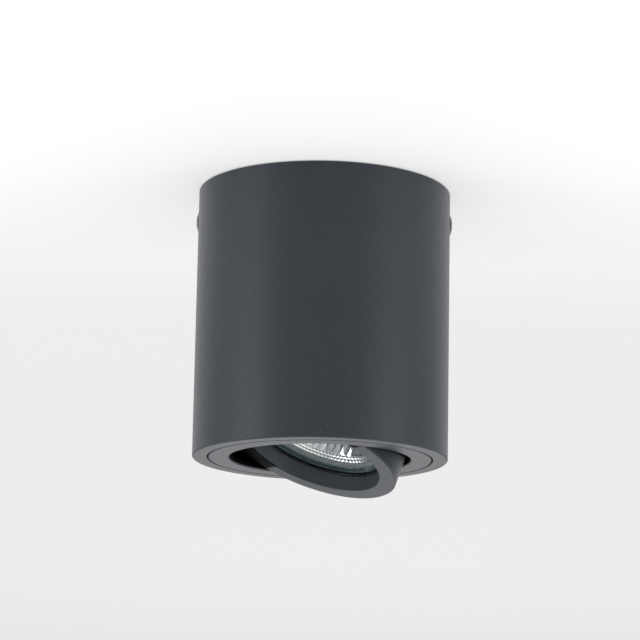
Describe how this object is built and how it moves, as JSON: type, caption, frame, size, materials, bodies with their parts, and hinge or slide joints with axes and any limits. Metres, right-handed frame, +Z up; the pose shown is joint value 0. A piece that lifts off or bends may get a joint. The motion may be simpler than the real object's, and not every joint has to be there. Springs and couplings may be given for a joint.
{
  "type": "surface mounted ceiling spotlight",
  "caption": "Surface mounted cylindrical ceiling spotlight: a dark can with a turning trim and a tilting ring that holds a reflector lamp.",
  "frame": {"origin": "centre of the can's top rim, on the ceiling plane", "axes": "+Z up, into the ceiling and out along the can's axis; the two side screws lie on the X axis; -Y is the side that the picture shows"},
  "size_m": [0.0978, 0.096, 0.1154],
  "materials": {
    "anthracite_powder_coat": "fine-textured dark grey powder coat",
    "black_screw": "black passivated steel",
    "galvanised_steel": "zinc plated sheet",
    "block_plastic": "natural polyamide",
    "brass": "turned brass",
    "zinc_screw": "bright zinc plated",
    "tinned_copper": "tinned copper",
    "earth_insulation": "green and yellow insulation",
    "silicone_insulation": "silicone insulation",
    "glass_fibre_sleeve": "braided glass fibre",
    "spring_steel": "blued spring steel",
    "nylon": "natural nylon",
    "black_spring_wire": "blackened spring wire",
    "reflector_glass": "aluminised pressed glass, faceted",
    "clear_glass": "clear pressed glass",
    "quartz_glass": "clear quartz",
    "ceramic": "unglazed steatite ceramic",
    "lamp_pin_metal": "nickel plated",
    "tungsten": "tungsten wire",
    "holder_cover_steel": "zinc plated sheet"
  },
  "bodies": {
    "ceiling_base": {"housing": "anthracite_powder_coat", "side_screw_left": "black_screw", "side_screw_right": "black_screw", "ceiling_bracket": "galvanised_steel", "terminal_block": "block_plastic", "terminal_tubes": "brass", "terminal_clamp_screws": "zinc_screw", "terminal_block_screws": "zinc_screw", "earth_ring_terminal": "tinned_copper", "earth_screw": "brass", "earth_lead": "earth_insulation", "upper_leads": "silicone_insulation"},
    "trim_unit": {"trim_ring": "anthracite_powder_coat", "spring_clip_stop": "spring_steel", "spring_clip_plain": "spring_steel", "spring_clip_screws": "zinc_screw"},
    "lamp_unit": {"lamp_ring": "anthracite_powder_coat", "pivot_screw_front": "black_screw", "pivot_screw_back": "black_screw", "friction_washers": "nylon", "lamp_retaining_clip": "black_spring_wire", "lamp_reflector": "reflector_glass", "lamp_cover_glass": "clear_glass", "lamp_base": "ceramic", "lamp_pins": "lamp_pin_metal", "lamp_burner": "quartz_glass", "lamp_filament": "tungsten", "holder_body": "ceramic", "holder_contacts": "tinned_copper", "holder_cover": "holder_cover_steel", "holder_cover_screws": "zinc_screw", "lower_leads": "silicone_insulation", "heat_sleeves": "glass_fibre_sleeve"}
  },
  "joints": [
    {"name": "swivel", "type": "hinge", "parent": "ceiling_base", "child": "trim_unit", "pos_m": [0, 0, -0.0945], "axis": [0, 0, 1], "range_deg": [-175, 175], "deforming": ["upper_leads", "lower_leads", "heat_sleeves"]},
    {"name": "tilt", "type": "hinge", "parent": "trim_unit", "child": "lamp_unit", "pos_m": [0, 0, -0.0945], "axis": [-0.5736, 0.8192, 0], "range_deg": [-52, 8], "deforming": ["upper_leads", "lower_leads", "heat_sleeves"]}
  ]
}
